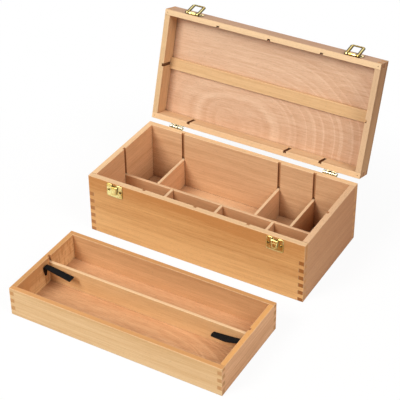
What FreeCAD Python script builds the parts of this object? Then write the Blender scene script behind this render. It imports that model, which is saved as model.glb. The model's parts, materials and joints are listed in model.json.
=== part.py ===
import FreeCAD, Part
import Sketcher
import os
from FreeCAD import Vector

# Art supply box: a finger-jointed beech carcass with a hinged lid, loose dividers standing in
# grooves, two snap latches and a lift-out tray with leather pulls. Millimetres. The origin is the
# centre of the base's underside, +X runs along the length, +Y to the back, +Z up. The lid stands
# open against the hinge stops and the tray lies on the table in front of the box.

doc = FreeCAD.newDocument("art_supply_box")
dims = doc.addObject("Spreadsheet::Sheet", "dims")
driving = [
    ("box_length", 400),
    ("box_width", 196),
    ("base_height", 111),
    ("lid_height", 33),
    ("wall", 10),
    ("arris", 0.5),
    ("rim_gap", 0.3),
    ("lid_open", 106.6),
    ("finger_pitch", 14.4),
    ("bottom_thick", 4),
    ("lid_panel_thick", 3),
    ("panel_lap", 5),
    ("batten_width", 20),
    ("batten_thick", 6),
    ("groove_depth", 3.5),
    ("groove_slack", 0.25),
    ("divider_thick", 5),
    ("divider_end_gap", 0.3),
    ("divider_seat_gap", 0.2),
    ("dado_depth", 1.3),
    ("small_bay", 60.8),
    ("hinge_place", 148),
    ("hinge_width", 26),
    ("hinge_corner", 1.6),
    ("hinge_drop", 17),
    ("hinge_stand_off", 4.5),
    ("hinge_leaf_thick", 1),
    ("knuckle_radius", 2.4),
    ("knuckle_gap", 0.3),
    ("hinge_pin_radius", 1.2),
    ("pin_slack", 0.05),
    ("stop_tab_width", 9),
    ("stop_tab_level", 3.2),
    ("stop_gap", 0.1),
    ("hinge_screw_place", 8.5),
    ("hinge_screw_drop", 11),
    ("latch_place", 148),
    ("latch_width", 30),
    ("latch_corner", 3),
    ("latch_plate_thick", 0.9),
    ("catch_height", 25),
    ("catch_drop", 1.5),
    ("catch_screw_place", 11),
    ("hump_width", 12.6),
    ("hump_toe_radius", 4.4),
    ("hump_rise", 3.4),
    ("hump_lip", 1),
    ("hump_mouth", 6),
    ("hump_top_drop", 3),
    ("bail_width", 26),
    ("bail_arm", 6),
    ("bail_bar", 3.2),
    ("bail_reach", 26),
    ("bail_thick", 1.2),
    ("bail_lip", 1.4),
    ("bail_stand_off", 3),
    ("bail_axis_rise", 1.4),
    ("bail_knuckle_radius", 2.2),
    ("bail_pin_radius", 1),
    ("bail_fold", 157),
    ("bail_gap", 0.3),
    ("lid_plate_height", 20),
    ("lid_plate_screw_rise", 13),
    ("brad_radius", 0.7),
    ("brad_depth", 6),
    ("screw_head_radius", 2.2),
    ("screw_head_rise", 1.1),
    ("screw_radius", 1.1),
    ("screw_length", 8),
    ("tray_length", 377),
    ("tray_width", 171),
    ("tray_height", 52),
    ("tray_wall", 8.7),
    ("tray_bottom_thick", 4),
    ("tray_lap", 4),
    ("tray_finger_top", 5.5),
    ("tray_divider_offset", 12),
    ("tray_divider_drop", 10.5),
    ("tray_x", 3),
    ("tray_y", -260),
    ("tab_thick", 2),
    ("tab_leg", 16),
    ("tab_bend", 2.5),
    ("tab_offset", -3.5),
    ("tab_left_level", 44),
    ("tab_left_reach", 51),
    ("tab_left_droop", 130),
    ("tab_left_root", 10.6),
    ("tab_left_belly", 12),
    ("tab_left_tip", 13.2),
    ("tab_right_level", 37),
    ("tab_right_reach", 54),
    ("tab_right_droop", 280),
    ("tab_right_root", 9),
    ("tab_right_belly", 15.6),
    ("tab_right_tip", 11),
    ("run_out", 2),
]
for row, (alias, number) in enumerate(driving, start=1):
    dims.set(f"A{row}", alias)
    dims.set(f"B{row}", str(number))
    dims.setAlias(f"B{row}", alias)
doc.recompute()

# Fingers of the end walls at each corner: six in the base, three in the tray and, in the lid, as
# many whole pitches as its side holds, which leaves a plain finger at the rim.
base_fingers = 6
lid_fingers = int((dims.lid_height - dims.rim_gap) / dims.finger_pitch)
tray_fingers = 3

# Places that several pieces share, written once as expressions on the sheet.
inner_length = "(dims.box_length - 2 * dims.wall)"
inner_width = "(dims.box_width - 2 * dims.wall)"
groove_width = "(dims.divider_thick + 2 * dims.groove_slack)"
lid_side = "(dims.lid_height - dims.rim_gap)"
lid_rim = "(dims.base_height + dims.rim_gap)"
box_top = "(dims.base_height + dims.lid_height)"
hinge_y = "(dims.box_width / 2 + dims.hinge_stand_off)"
hinge_z = "(dims.base_height + dims.rim_gap / 2)"
catch_low = "(dims.base_height - dims.catch_drop - dims.catch_height)"
bail_axis_z = f"({lid_rim} + dims.bail_axis_rise)"
divider_low = "(dims.bottom_thick + dims.divider_seat_gap)"
divider_top = "(dims.base_height - dims.tray_height)"
tray_inner_length = "(dims.tray_length - 2 * dims.tray_wall)"
tray_inner_width = "(dims.tray_width - 2 * dims.tray_wall)"

# Four equal bays in front; behind, two small bays on the right, a wide one and a small one.
bay_step = f"(({inner_length} + dims.divider_thick) / 4)"
front_places = {"left": f"(-{bay_step})", "middle": "(0)", "right": bay_step}
end_place = f"({inner_length} / 2 - dims.small_bay - dims.divider_thick / 2)"
rear_places = {
    "left": f"(-{end_place})",
    "middle": f"({end_place} - dims.small_bay - dims.divider_thick)",
    "right": end_place,
}
pieces = []


def at(x="0", y="0", z="0", turn="0", axis="0; 0; 1"):
    return f"placement(vector({x}; {y}; {z}); rotation(vector({axis}); {turn}))"


# The lid's pieces are drawn where they lie on the closed box and swung open about the hinge pin.
lid_swing = (
    at("0", hinge_y, hinge_z, "-dims.lid_open", "1; 0; 0") + " * " + at("0", f"-{hinge_y}", f"-{hinge_z}")
)


def new_body(label, place, several=False):
    body = doc.addObject("PartDesign::Body", label)
    body.AllowCompound = several
    body.setExpression("Placement", place)
    pieces.append(body)
    return body


def origin_item(body, role):
    return next(item for item in body.Origin.OriginFeatures if item.Role == role)


def sketch_on(body, role, name, **shift):
    sketch = body.newObject("Sketcher::SketchObject", f"{body.Name}_{name}")
    sketch.AttachmentSupport = [(origin_item(body, role), "")]
    sketch.MapMode = "FlatFace"
    for axis, expression in shift.items():
        sketch.setExpression(f"AttachmentOffset.Base.{axis}", expression)
    return sketch


def number_of(sketch, expression):
    return float(sketch.evalExpression(expression))


def fix(sketch, kind, geometry, point, expression):
    amount = number_of(sketch, expression)
    index = sketch.addConstraint(Sketcher.Constraint(kind, -1, 1, geometry, point, amount))
    sketch.setExpression(f"Constraints[{index}]", expression)


def fix_radius(sketch, geometry, expression):
    amount = number_of(sketch, expression)
    index = sketch.addConstraint(Sketcher.Constraint("Radius", geometry, amount))
    sketch.setExpression(f"Constraints[{index}]", expression)


def polygon(sketch, corners):
    first = sketch.GeometryCount
    spots = [Vector(number_of(sketch, x), number_of(sketch, y)) for x, y in corners]
    for start, end in zip(spots, spots[1:] + spots[:1]):
        sketch.addGeometry(Part.LineSegment(start, end))
    for side in range(len(corners)):
        following = first + (side + 1) % len(corners)
        sketch.addConstraint(Sketcher.Constraint("Coincident", first + side, 2, following, 1))
    for side, (x, y) in enumerate(corners):
        fix(sketch, "DistanceX", first + side, 1, x)
        fix(sketch, "DistanceY", first + side, 1, y)


def rectangle(sketch, left, right, low, high):
    polygon(sketch, [(left, low), (right, low), (right, high), (left, high)])


def circle(sketch, x, y, radius):
    centre = Vector(number_of(sketch, x), number_of(sketch, y))
    ring = sketch.addGeometry(Part.Circle(centre, Vector(0, 0, 1), number_of(sketch, radius)))
    fix(sketch, "DistanceX", ring, 3, x)
    fix(sketch, "DistanceY", ring, 3, y)
    fix_radius(sketch, ring, radius)


def feature_from(body, kind, sketch, length, reverse=False):
    feature = body.newObject(f"PartDesign::{kind}", f"{sketch.Name}_{kind.lower()}")
    feature.Profile = sketch
    feature.setExpression("Length", length)
    feature.Reversed = reverse
    return feature


def row_of(body, feature, axis, spacing, count):
    pattern = body.newObject("PartDesign::LinearPattern", f"{feature.Name}_row")
    pattern.Originals = [feature]
    pattern.Direction = (origin_item(body, axis), [""])
    pattern.setExpression("Length", f"{spacing} * {count - 1}")
    pattern.Occurrences = count
    body.Tip = pattern


# Takes the sharp arris off the edges whose end points pass the test.
def ease(body, feature, test, size="dims.arris"):
    doc.recompute()
    edges = [
        f"Edge{index + 1}"
        for index, edge in enumerate(feature.Shape.Edges)
        if test([vertex.Point for vertex in edge.Vertexes])
    ]
    eased = body.newObject("PartDesign::Chamfer", f"{feature.Name}_eased")
    eased.Base = (feature, edges)
    eased.setExpression("Size", size)


def all_near(values, target):
    return all(abs(value - target) < 1e-6 for value in values)


# A carcass wall: a board with box-joint fingers at both ends, a rebate for the ply panel, grooves
# for the dividers on its inner face and pilot holes for the screws of the fittings. Drawn with
# x along the board, y = 0 on the outer face and z = 0 on its lower edge. Its outer and upper and
# lower arrises are eased before the joint is cut.
def make_wall(label, place, length, height, thick, ends, start, count, panel, grooves=(), holes=()):
    body = new_body(label, place)
    blank = sketch_on(body, "XY_Plane", "blank")
    rectangle(blank, f"-{length} / 2", f"{length} / 2", "0", thick)
    sawn = feature_from(body, "Pad", blank, height)
    top_edge = number_of(blank, height)

    def outward(points):
        levels = [point.z for point in points]
        on_face = all_near([point.y for point in points], 0)
        return on_face or all_near(levels, 0) or all_near(levels, top_edge)

    ease(body, sawn, outward)

    tooth = "dims.finger_pitch / 2"
    if ends == "long":
        spans = [(f"{start} + {n} * dims.finger_pitch", tooth) for n in range(count)]
    else:
        spans = [(f"{start} + {n + 0.5} * dims.finger_pitch", tooth) for n in range(count - 1)]
        last = f"({start} + {count - 0.5} * dims.finger_pitch)"
        spans.append((last, f"({height} - {last} + dims.run_out)"))
        if start != "0":
            spans.append((f"{start} - dims.finger_pitch", "dims.finger_pitch"))
    joint = sketch_on(body, "XZ_Plane", "joint")
    inside = f"({length} / 2 - {thick})"
    outside = f"({length} / 2 + dims.run_out)"
    for low, span in spans:
        rectangle(joint, f"-{outside}", f"-{inside}", low, f"{low} + {span}")
        rectangle(joint, inside, outside, low, f"{low} + {span}")
    feature_from(body, "Pocket", joint, f"{thick} + dims.run_out")

    panel_thick, lap, on_top = panel
    level = f"{height} - {panel_thick}" if on_top else "0"
    rebate = sketch_on(body, "XY_Plane", "rebate", z=level)
    seat = f"({length} / 2 - {thick} + {lap})"
    rectangle(rebate, f"-{seat}", seat, f"{thick} - {lap}", f"{thick} + dims.run_out")
    feature_from(body, "Pocket", rebate, panel_thick, reverse=True)

    if grooves:
        tracks = sketch_on(body, "XY_Plane", "grooves")
        floor = f"{thick} - dims.groove_depth"
        for x in grooves:
            left = f"{x} - {groove_width} / 2"
            right = f"{x} + {groove_width} / 2"
            rectangle(tracks, left, right, floor, f"{thick} + dims.run_out")
        top = f"{height} - {panel_thick} - dims.batten_thick" if on_top else height
        feature_from(body, "Pocket", tracks, top, reverse=True)
    if holes:
        pilots = sketch_on(body, "XZ_Plane", "pilots")
        for x, z in holes:
            circle(pilots, x, z, "dims.screw_radius + dims.pin_slack")
        feature_from(body, "Pocket", pilots, "dims.screw_length")
    return body


# A plain board; the long arrises at the level of its shown edge are eased.
def make_board(label, place, left, right, front, back, low, high, shown=None):
    body = new_body(label, place)
    plan = sketch_on(body, "XY_Plane", "plan", z=low)
    rectangle(plan, left, right, front, back)
    sawn = feature_from(body, "Pad", plan, f"{high} - ({low})")
    if shown:
        level = number_of(plan, shown)
        wide = number_of(plan, f"{right} - ({left}) - ({back}) + ({front})") > 0
        long_side = 0 if wide else 1

        def shown_arris(points):
            along = abs(points[0][long_side] - points[-1][long_side]) > 1e-6
            return along and all_near([point.z for point in points], level)

        ease(body, sawn, shown_arris)
    return body


# A pan-headed wood screw for each (x, z): seated at y = 0 with its shank along +Y.
def make_screws(label, place, spots):
    body = new_body(label, place, several=True)
    for index, (x, z) in enumerate(spots):
        outline = sketch_on(body, "XY_Plane", f"outline{index}", x=x, z=z)
        head, rise = "dims.screw_head_radius", "dims.screw_head_rise"
        shank, tip = "dims.screw_radius", "dims.screw_length"
        polygon(
            outline,
            [
                ("0", f"-{rise}"),
                (f"{head} * 0.65", f"-{rise}"),
                (head, "0"),
                (shank, "0"),
                (shank, tip),
                ("0", tip),
            ],
        )
        turned = body.newObject("PartDesign::Revolution", f"{outline.Name}_turned")
        turned.Profile = outline
        turned.ReferenceAxis = (outline, ["V_Axis"])
        turned.Angle = 360


# One leaf of a self-supporting box hinge, drawn about its pin: a plate on the back of the wall,
# knuckles carried on necks and a stop tab whose bevelled end meets the other leaf's tab.
def make_hinge_leaf(label, place, first_knuckle, knuckles):
    body = new_body(label, place)
    half = "dims.hinge_width / 2"
    plate = sketch_on(body, "XZ_Plane", "plate", z="dims.hinge_stand_off")
    rounded_plate(plate, "dims.hinge_width", "-dims.hinge_drop", "-dims.rim_gap", "dims.hinge_corner")
    feature_from(body, "Pad", plate, "dims.hinge_leaf_thick", reverse=True)

    step = "(dims.hinge_width / 5)"
    begin = f"-{half} + {first_knuckle} * {step} + dims.knuckle_gap / 2"
    neck = sketch_on(body, "YZ_Plane", "neck", z=begin)
    rectangle(neck, "-dims.hinge_stand_off", "0", "-dims.knuckle_radius", "-dims.rim_gap")
    carried = feature_from(body, "Pad", neck, f"{step} - dims.knuckle_gap")
    row_of(body, carried, "X_Axis", f"2 * {step}", knuckles)
    barrel = sketch_on(body, "YZ_Plane", "barrel", z=begin)
    circle(barrel, "0", "0", "dims.knuckle_radius")
    rolled = feature_from(body, "Pad", barrel, f"{step} - dims.knuckle_gap")
    row_of(body, rolled, "X_Axis", f"2 * {step}", knuckles)

    level, thick = "dims.stop_tab_level", "dims.hinge_leaf_thick"
    lean = "tan((180 - dims.lid_open) / 2)"
    root = "-dims.hinge_stand_off"
    tab = sketch_on(body, "YZ_Plane", "stop_tab", z="-dims.stop_tab_width / 2")
    polygon(
        tab,
        [
            (root, f"-{level}"),
            (f"{level} * {lean} - dims.stop_gap", f"-{level}"),
            (f"({level} + {thick}) * {lean} - dims.stop_gap", f"-{level} - {thick}"),
            (root, f"-{level} - {thick}"),
        ],
    )
    feature_from(body, "Pad", tab, "dims.stop_tab_width")

    bore = sketch_on(body, "YZ_Plane", "bore", z=f"-{half} - dims.run_out")
    circle(bore, "0", "0", "dims.hinge_pin_radius + dims.pin_slack")
    feature_from(body, "Pocket", bore, "dims.hinge_width + 2 * dims.run_out", reverse=True)
    screws = sketch_on(body, "XZ_Plane", "screws", z="dims.hinge_stand_off")
    for side in ("-", ""):
        x = f"{side}dims.hinge_screw_place"
        circle(screws, x, "-dims.hinge_screw_drop", "dims.screw_radius + dims.pin_slack")
    feature_from(body, "Pocket", screws, "dims.hinge_leaf_thick")


def make_pin(label, place, radius, length):
    pin = doc.addObject("Part::Cylinder", label)
    pin.setExpression("Radius", radius)
    pin.setExpression("Height", length)
    pin.setExpression("Placement", f"{place} * {at(f'-{length} / 2', turn='90', axis='0; 1; 0')}")
    pieces.append(pin)


# A plate outline with four rounded corners, centred on x = 0.
def rounded_plate(sketch, width, low, high, radius):
    half = number_of(sketch, f"{width} / 2")
    bottom, top, bend = (number_of(sketch, size) for size in (low, high, radius))
    spots = [
        Vector(half, bottom + bend),
        Vector(half, top - bend),
        Vector(half - bend, top),
        Vector(bend - half, top),
        Vector(-half, top - bend),
        Vector(-half, bottom + bend),
        Vector(bend - half, bottom),
        Vector(half - bend, bottom),
    ]
    centres = [(half - bend, top - bend), (bend - half, top - bend)]
    centres += [(bend - half, bottom + bend), (half - bend, bottom + bend)]
    first = sketch.GeometryCount
    for corner, (x, z) in enumerate(centres):
        start, end = spots[2 * corner], spots[2 * corner + 1]
        sketch.addGeometry(Part.LineSegment(start, end))
        round_off = Part.Circle(Vector(x, z), Vector(0, 0, 1), bend)
        begin = round_off.parameter(end)
        finish = round_off.parameter(spots[(2 * corner + 2) % 8])
        sketch.addGeometry(Part.ArcOfCircle(round_off, begin, finish))
    for item in range(8):
        following = first + (item + 1) % 8
        sketch.addConstraint(Sketcher.Constraint("Tangent", first + item, 2, following, 1))
    for corner in range(3):
        sketch.addConstraint(Sketcher.Constraint("Equal", first + 1, first + 2 * corner + 3))
    fix_radius(sketch, first + 1, radius)
    sketch.addConstraint(Sketcher.Constraint("Vertical", first))
    fix(sketch, "DistanceX", first, 1, f"{width} / 2")
    fix(sketch, "DistanceX", first + 4, 1, f"-{width} / 2")
    fix(sketch, "DistanceY", first + 2, 1, high)
    fix(sketch, "DistanceY", first + 6, 1, low)


# The catch on the base: a screwed plate with a raised bell-shaped hump, open at its top, whose
# toe holds the bar of the bail.
def make_catch(label, place):
    body = new_body(label, place)
    plate = sketch_on(body, "XZ_Plane", "plate")
    rounded_plate(plate, "dims.latch_width", "0", "dims.catch_height", "dims.latch_corner")
    feature_from(body, "Pad", plate, "dims.latch_plate_thick")

    crest = "(dims.catch_height - dims.hump_top_drop)"
    toe = f"({bail_axis_z} - dims.bail_reach + dims.bail_bar + dims.bail_gap - {catch_low})"
    hump = sketch_on(body, "XZ_Plane", "hump")
    half, turn = "dims.hump_width / 2", "dims.hump_toe_radius"
    x, low, bend, high = (number_of(hump, size) for size in (half, toe, turn, crest))
    round_toe = Part.Circle(Vector(0, low + bend), Vector(0, 0, 1), bend)
    left, right = Vector(-bend, low + bend), Vector(bend, low + bend)
    hump.addGeometry(Part.LineSegment(Vector(x, high), Vector(-x, high)))
    hump.addGeometry(Part.LineSegment(Vector(-x, high), left))
    hump.addGeometry(Part.ArcOfCircle(round_toe, round_toe.parameter(left), 2 * round_toe.parameter(left)))
    hump.addGeometry(Part.LineSegment(right, Vector(x, high)))
    for item in range(4):
        hump.addConstraint(Sketcher.Constraint("Coincident", item, 2, (item + 1) % 4, 1))
    fix(hump, "DistanceX", 0, 1, half)
    fix(hump, "DistanceX", 0, 2, f"-{half}")
    fix(hump, "DistanceY", 0, 1, crest)
    fix(hump, "DistanceY", 0, 2, crest)
    fix(hump, "DistanceX", 1, 2, f"-{turn}")
    fix(hump, "DistanceY", 1, 2, f"{toe} + {turn}")
    fix(hump, "DistanceX", 2, 3, "0")
    fix(hump, "DistanceY", 2, 3, f"{toe} + {turn}")
    fix(hump, "DistanceY", 2, 2, f"{toe} + {turn}")
    raised = feature_from(body, "Pad", hump, "dims.latch_plate_thick + dims.hump_rise")
    face_y = -number_of(hump, "dims.latch_plate_thick + dims.hump_rise")
    ease(body, raised, lambda points: all_near([point.y for point in points], face_y), "0.7 * dims.hump_lip")

    mouth = sketch_on(body, "XY_Plane", "mouth", z="dims.catch_height + dims.run_out")
    inner = f"({half} - 1.8 * dims.hump_lip)"
    front = "-dims.latch_plate_thick - dims.hump_rise + dims.hump_lip"
    rectangle(mouth, f"-{inner}", inner, front, "dims.run_out")
    feature_from(body, "Pocket", mouth, "dims.hump_top_drop + dims.run_out")
    throat = sketch_on(body, "XY_Plane", "throat", z=crest)
    rectangle(throat, f"-{inner}", inner, front, "-dims.latch_plate_thick")
    feature_from(body, "Pocket", throat, "dims.hump_mouth")
    screws = sketch_on(body, "XZ_Plane", "screws", z="dims.latch_plate_thick")
    for side in ("-", ""):
        place_x = f"{side}dims.catch_screw_place"
        circle(screws, place_x, "dims.catch_height / 2", "dims.screw_radius + dims.pin_slack")
    feature_from(body, "Pocket", screws, "dims.latch_plate_thick")


# The plate on the lid: two screws and a middle knuckle for the bail, drawn about the bail's pin.
def make_lid_plate(label, place):
    body = new_body(label, place)
    middle = "(dims.bail_width / 2 - dims.bail_arm - dims.bail_gap)"
    low = "(dims.bail_knuckle_radius + dims.bail_gap)"
    high = "(dims.lid_plate_height - dims.bail_axis_rise)"
    plate = sketch_on(body, "XZ_Plane", "plate", z="-dims.bail_stand_off")
    rounded_plate(plate, "dims.latch_width", low, high, "dims.latch_corner")
    feature_from(body, "Pad", plate, "dims.latch_plate_thick")
    neck = sketch_on(body, "YZ_Plane", "neck", z=f"-{middle}")
    rectangle(neck, "0", "dims.bail_stand_off", "0", f"{low} + dims.latch_plate_thick")
    feature_from(body, "Pad", neck, f"2 * {middle}")
    barrel = sketch_on(body, "YZ_Plane", "barrel", z=f"-{middle}")
    circle(barrel, "0", "0", "dims.bail_knuckle_radius")
    feature_from(body, "Pad", barrel, f"2 * {middle}")
    bore = sketch_on(body, "YZ_Plane", "bore", z="-dims.latch_width / 2")
    circle(bore, "0", "0", "dims.bail_pin_radius + dims.pin_slack")
    feature_from(body, "Pocket", bore, "dims.latch_width", reverse=True)
    front = "-dims.bail_stand_off + dims.latch_plate_thick"
    screws = sketch_on(body, "XZ_Plane", "screws", z=front)
    for side in ("-", ""):
        x = f"{side}dims.catch_screw_place"
        rise = "dims.lid_plate_screw_rise - dims.bail_axis_rise"
        circle(screws, x, rise, "dims.screw_radius + dims.pin_slack")
    feature_from(body, "Pocket", screws, "dims.latch_plate_thick")


# The bail: a flat fork with a cross bar and a finger lip, hanging below its pin along -Z.
def make_bail(label, place):
    body = new_body(label, place)
    half = "dims.bail_width / 2"
    opening = "(dims.bail_width / 2 - dims.bail_arm)"
    end = "-dims.bail_reach"
    frame = sketch_on(body, "XZ_Plane", "frame", z="-dims.bail_thick / 2")
    polygon(
        frame,
        [
            (f"-{half}", "0"),
            (f"-{half}", f"{end} + dims.latch_corner"),
            (f"-{half} + dims.latch_corner", end),
            (f"{half} - dims.latch_corner", end),
            (half, f"{end} + dims.latch_corner"),
            (half, "0"),
            (opening, "0"),
            (opening, f"{end} + dims.bail_bar"),
            (f"-{opening}", f"{end} + dims.bail_bar"),
            (f"-{opening}", "0"),
        ],
    )
    feature_from(body, "Pad", frame, "dims.bail_thick")
    for name, begin in (("left", f"-{half}"), ("right", opening)):
        barrel = sketch_on(body, "YZ_Plane", f"{name}_barrel", z=begin)
        circle(barrel, "0", "0", "dims.bail_knuckle_radius")
        feature_from(body, "Pad", barrel, "dims.bail_arm")
    lip = sketch_on(body, "XY_Plane", "lip", z=end)
    rectangle(lip, f"-{opening}", opening, "-dims.bail_thick / 2 - dims.bail_lip", "0")
    feature_from(body, "Pad", lip, "dims.bail_thick")
    bore = sketch_on(body, "YZ_Plane", "bore", z=f"-{half} - dims.run_out")
    circle(bore, "0", "0", "dims.bail_pin_radius + dims.pin_slack")
    feature_from(body, "Pocket", bore, "dims.bail_width + 2 * dims.run_out", reverse=True)


# A leather pull: a leg glued to the end wall, folded over and drooping inwards as a tongue whose
# width runs from its root over the belly to the tip.
def make_tab(label, place, kind):
    body = new_body(label, place)
    half = "dims.tab_thick / 2"
    own = f"dims.tab_{kind}"
    route = sketch_on(body, "XZ_Plane", "route")
    x, leg, bend = (number_of(route, size) for size in (half, "dims.tab_leg", "dims.tab_bend"))
    droop, reach = (number_of(route, f"{own}_{size}") for size in ("droop", "reach"))
    fold = Part.Circle(Vector(x + bend, leg), Vector(0, 0, 1), bend)
    sag = Part.Circle(Vector(x + bend, leg + bend - droop), Vector(0, 0, 1), droop)
    crown = Vector(x + bend, leg + bend)
    tip = Vector(reach, leg + bend - droop + (droop**2 - (reach - x - bend) ** 2) ** 0.5)
    route.addGeometry(Part.LineSegment(Vector(x, 0), Vector(x, leg)))
    route.addGeometry(Part.ArcOfCircle(fold, fold.parameter(crown), fold.parameter(Vector(x, leg))))
    route.addGeometry(Part.ArcOfCircle(sag, sag.parameter(tip), sag.parameter(crown)))
    route.addConstraint(Sketcher.Constraint("Vertical", 0))
    route.addConstraint(Sketcher.Constraint("Tangent", 0, 2, 1, 2))
    route.addConstraint(Sketcher.Constraint("Tangent", 1, 1, 2, 2))
    fix(route, "DistanceX", 0, 1, half)
    fix(route, "DistanceY", 0, 1, "0")
    fix(route, "DistanceY", 0, 2, "dims.tab_leg")
    fix_radius(route, 1, "dims.tab_bend")
    fix_radius(route, 2, f"{own}_droop")
    fix(route, "DistanceX", 1, 1, f"{half} + dims.tab_bend")
    fix(route, "DistanceX", 2, 1, f"{own}_reach")
    section = sketch_on(body, "XY_Plane", "section")
    edge = f"(max({own}_belly; {own}_tip) / 2 + dims.arris)"
    rectangle(section, "0", "dims.tab_thick", f"-{edge}", edge)
    strip = body.newObject("PartDesign::AdditivePipe", f"{label}_strip")
    strip.Profile = section
    strip.Spine = (route, [])
    strip.Transition = "Round corner"
    outline = sketch_on(body, "XY_Plane", "outline", z="-dims.run_out")
    far = f"{own}_reach + dims.run_out"
    for side in ("", "-"):
        polygon(
            outline,
            [
                ("-dims.run_out", f"{side}{own}_root / 2"),
                (f"{own}_reach * 0.58", f"{side}{own}_belly / 2"),
                (far, f"{side}{own}_tip / 2"),
                (far, f"{side}({edge} + dims.run_out)"),
                ("-dims.run_out", f"{side}({edge} + dims.run_out)"),
            ],
        )
    full = "dims.tab_leg + dims.tab_bend + dims.tab_thick + 2 * dims.run_out"
    feature_from(body, "Pocket", outline, full, reverse=True)


def turned_pairs(places, sign):
    return [f"{sign}{x}" for x in places.values()]


catch_spots = [
    (f"{side}dims.latch_place {screw} dims.catch_screw_place", f"{catch_low} + dims.catch_height / 2")
    for side in ("-", "")
    for screw in ("-", "+")
]
lid_plate_spots = [(x, "dims.lid_plate_screw_rise") for x, z in catch_spots]
hinge_spots = [
    (f"{side}dims.hinge_place {screw} dims.hinge_screw_place", f"{hinge_z} - dims.hinge_screw_drop")
    for side in ("-", "")
    for screw in ("-", "+")
]
lid_hinge_spots = [(x, f"{hinge_z} + dims.hinge_screw_drop - {lid_rim}") for x, z in hinge_spots]

# Each side's board lies with its outer face on the box's face and its inner face turned inwards.
sides = {
    "front": ("0", "-dims.{0}_width / 2", "0"),
    "back": ("0", "dims.{0}_width / 2", "180"),
    "left": ("-dims.{0}_length / 2", "0", "-90"),
    "right": ("dims.{0}_length / 2", "0", "90"),
}


def side_place(side, family, z, shift_x="0", shift_y="0"):
    x, y, turn = (text.format(family) for text in sides[side])
    return at(f"{x} + {shift_x}", f"{y} + {shift_y}", z, turn)


groove_places = {
    "front": turned_pairs(front_places, ""),
    "back": turned_pairs(rear_places, "-"),
    "left": ["(0)"],
    "right": ["(0)"],
}
base_holes = {"front": catch_spots, "back": hinge_spots}
lid_holes = {"front": lid_plate_spots, "back": lid_hinge_spots}
lid_start = f"({lid_side} - {lid_fingers} * dims.finger_pitch)"
for side in sides:
    ends = "long" if side in ("front", "back") else "short"
    length = "dims.box_length" if ends == "long" else "dims.box_width"
    make_wall(
        f"base_{side}_wall", side_place(side, "box", "0"), length, "dims.base_height", "dims.wall", ends,
        "0", base_fingers, ("dims.bottom_thick", "dims.panel_lap", False),
        groove_places[side], base_holes.get(side, ()),
    )
    cover = make_wall(
        f"lid_{side}_wall", f"{lid_swing} * {side_place(side, 'box', lid_rim)}", length, lid_side,
        "dims.wall", ends, lid_start, lid_fingers, ("dims.lid_panel_thick", "dims.panel_lap", True),
        groove_places[side], lid_holes.get(side, ()),
    )
    if ends == "long":
        # Small holes in the rim, where a brad pins the corner joint from end to end.
        brads = sketch_on(cover, "XY_Plane", "brads")
        for corner in ("-", ""):
            circle(brads, f"{corner}({length} - dims.wall) / 2", "dims.wall / 2", "dims.brad_radius")
        feature_from(cover, "Pocket", brads, "dims.brad_depth", reverse=True)

seat_x = f"({inner_length} / 2 + dims.panel_lap)"
seat_y = f"({inner_width} / 2 + dims.panel_lap)"
make_board("base_bottom_panel", at(), f"-{seat_x}", seat_x, f"-{seat_y}", seat_y, "0", "dims.bottom_thick")
panel_low = f"({box_top} - dims.lid_panel_thick)"
make_board("lid_top_panel", lid_swing, f"-{seat_x}", seat_x, f"-{seat_y}", seat_y, panel_low, box_top)
make_board(
    "lid_batten", lid_swing, f"-{inner_length} / 2", f"{inner_length} / 2", "-dims.batten_width / 2",
    "dims.batten_width / 2", f"({panel_low} - dims.batten_thick)", panel_low,
    f"({panel_low} - dims.batten_thick)",
)

# The long divider runs from end wall to end wall; the cross dividers stand in its dados.
reach_x = f"({inner_length} / 2 + dims.groove_depth - dims.divider_end_gap)"
reach_y = f"({inner_width} / 2 + dims.groove_depth - dims.divider_end_gap)"
web = "(dims.divider_thick / 2)"
spine = make_board(
    "long_divider", at(), f"-{reach_x}", reach_x, f"-{web}", web, divider_low, divider_top, divider_top
)
dados = sketch_on(spine, "XY_Plane", "dados")
for places, low, high in (
    (front_places, f"-{web} - dims.run_out", f"-{web} + dims.dado_depth"),
    (rear_places, f"{web} - dims.dado_depth", f"{web} + dims.run_out"),
):
    for x in places.values():
        rectangle(dados, f"{x} - {groove_width} / 2", f"{x} + {groove_width} / 2", low, high)
feature_from(spine, "Pocket", dados, divider_top, reverse=True)
inner_end = f"({web} - dims.dado_depth + dims.divider_end_gap)"
for name, x in front_places.items():
    make_board(
        f"front_divider_{name}", at(x), f"-{web}", web, f"-{reach_y}", f"-{inner_end}", divider_low,
        divider_top, divider_top,
    )
for name, x in rear_places.items():
    make_board(
        f"rear_divider_{name}", at(x), f"-{web}", web, inner_end, reach_y, divider_low, divider_top,
        divider_top,
    )

latch_y = "-dims.box_width / 2"
flip = at(turn="180", axis="0; 1; 0")
for name, sign in (("left", "-"), ("right", "")):
    hinge_at = at(f"{sign}dims.hinge_place", hinge_y, hinge_z)
    make_hinge_leaf(f"hinge_base_leaf_{name}", hinge_at, 0, 3)
    make_hinge_leaf(f"hinge_lid_leaf_{name}", f"{lid_swing} * {hinge_at} * {flip}", 1, 2)
    make_pin(f"hinge_pin_{name}", hinge_at, "dims.hinge_pin_radius", "dims.hinge_width")
    make_catch(f"latch_catch_{name}", at(f"{sign}dims.latch_place", latch_y, catch_low))
    pin_y = f"{latch_y} - dims.bail_stand_off"
    bail_at = f"{lid_swing} * {at(f'{sign}dims.latch_place', pin_y, bail_axis_z)}"
    make_lid_plate(f"latch_lid_plate_{name}", bail_at)
    make_pin(f"latch_pin_{name}", bail_at, "dims.bail_pin_radius", "dims.bail_width")
    make_bail(f"latch_bail_{name}", f"{bail_at} * {at(turn='-dims.bail_fold', axis='1; 0; 0')}")

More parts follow.
